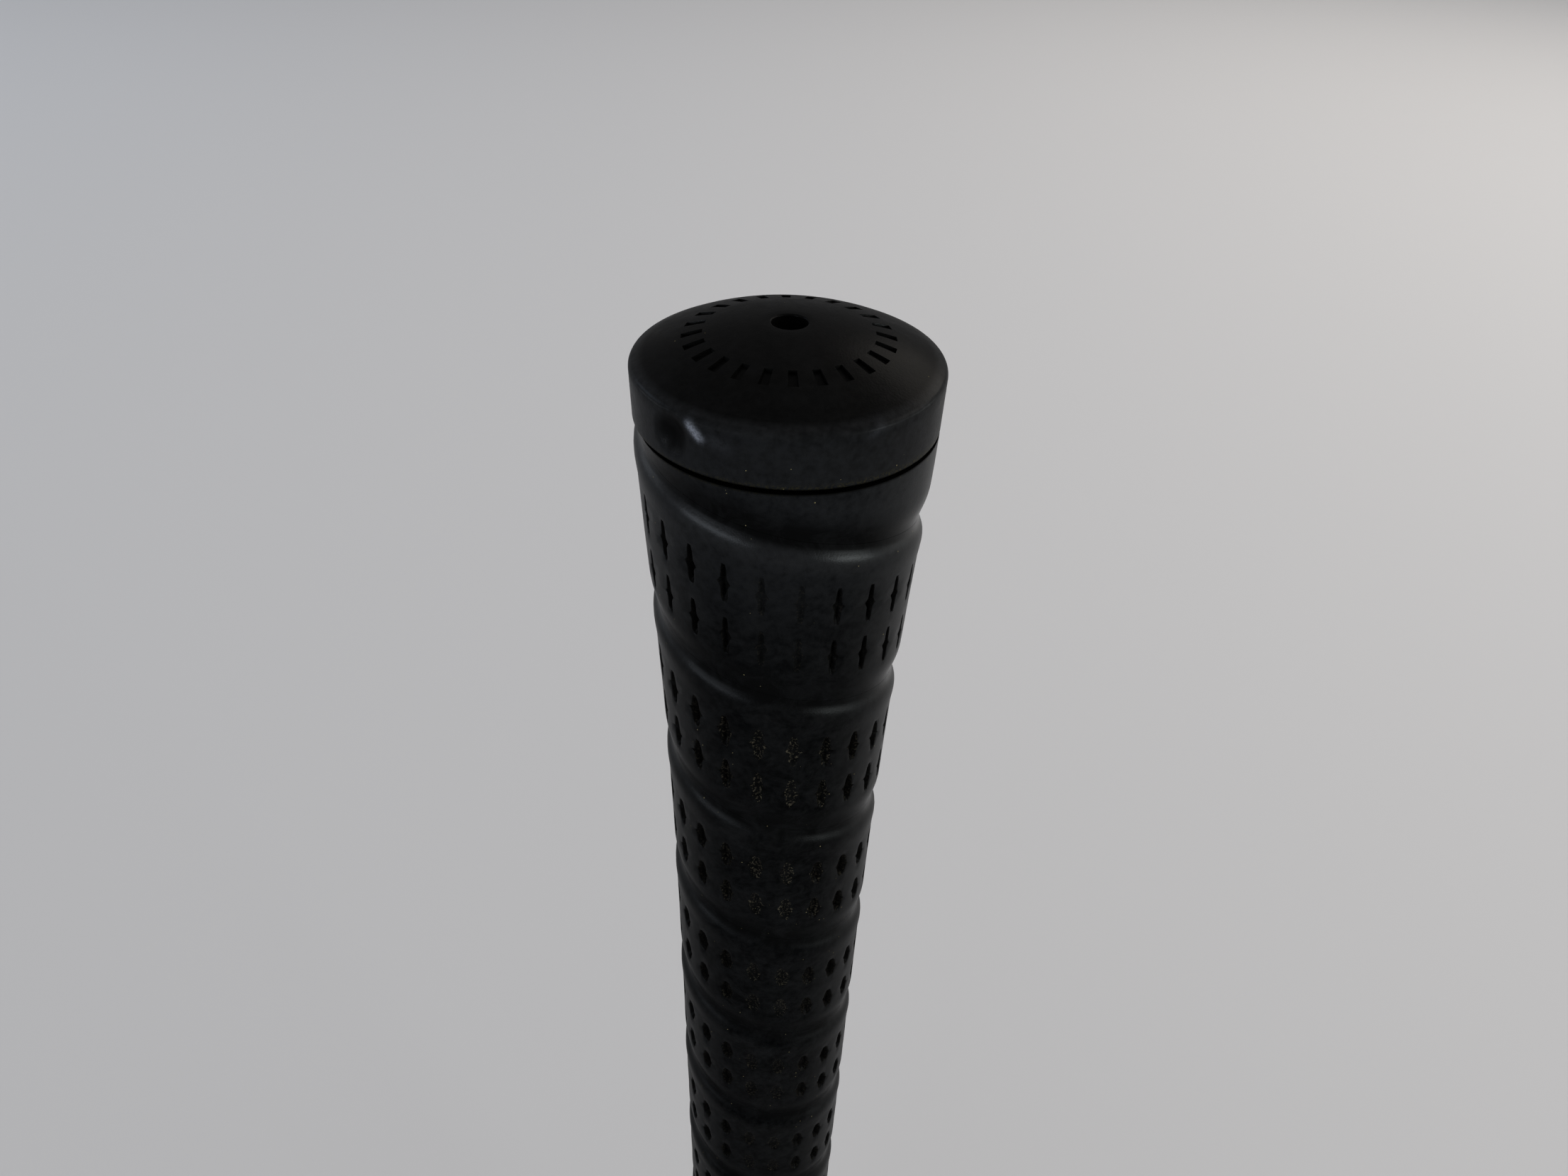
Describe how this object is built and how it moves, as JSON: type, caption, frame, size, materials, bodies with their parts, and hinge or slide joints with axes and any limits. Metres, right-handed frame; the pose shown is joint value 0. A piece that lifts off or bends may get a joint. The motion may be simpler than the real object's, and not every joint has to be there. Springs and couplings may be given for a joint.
{
  "type": "golf grip",
  "caption": "Wound rubber golf grip: tapered sleeve with a perforated strip wrapped round it, a domed vented butt cap, a mouth collar and a bore that takes a club shaft.",
  "frame": {"origin": "centre of the shaft bore at the mouth of the grip", "axes": "+Z along the grip from the mouth to the butt cap; -Y is the front that the picture shows, +X to its right"},
  "size_m": [0.0272, 0.0272, 0.267],
  "materials": {
    "cap_rubber": "matte, worn",
    "strip_rubber": "semi-gloss, worn",
    "sleeve_rubber": "matte",
    "collar_rubber": "satin",
    "washer_fibre": "matte red fibre",
    "tape_paper": "creped paper, tacky"
  },
  "bodies": {
    "root": {"butt_cap": "cap_rubber", "stop_washer": "washer_fibre", "underlisting": "sleeve_rubber", "wrap_strip": "strip_rubber", "mouth_collar": "collar_rubber", "grip_tape": "tape_paper"}
  },
  "joints": []
}
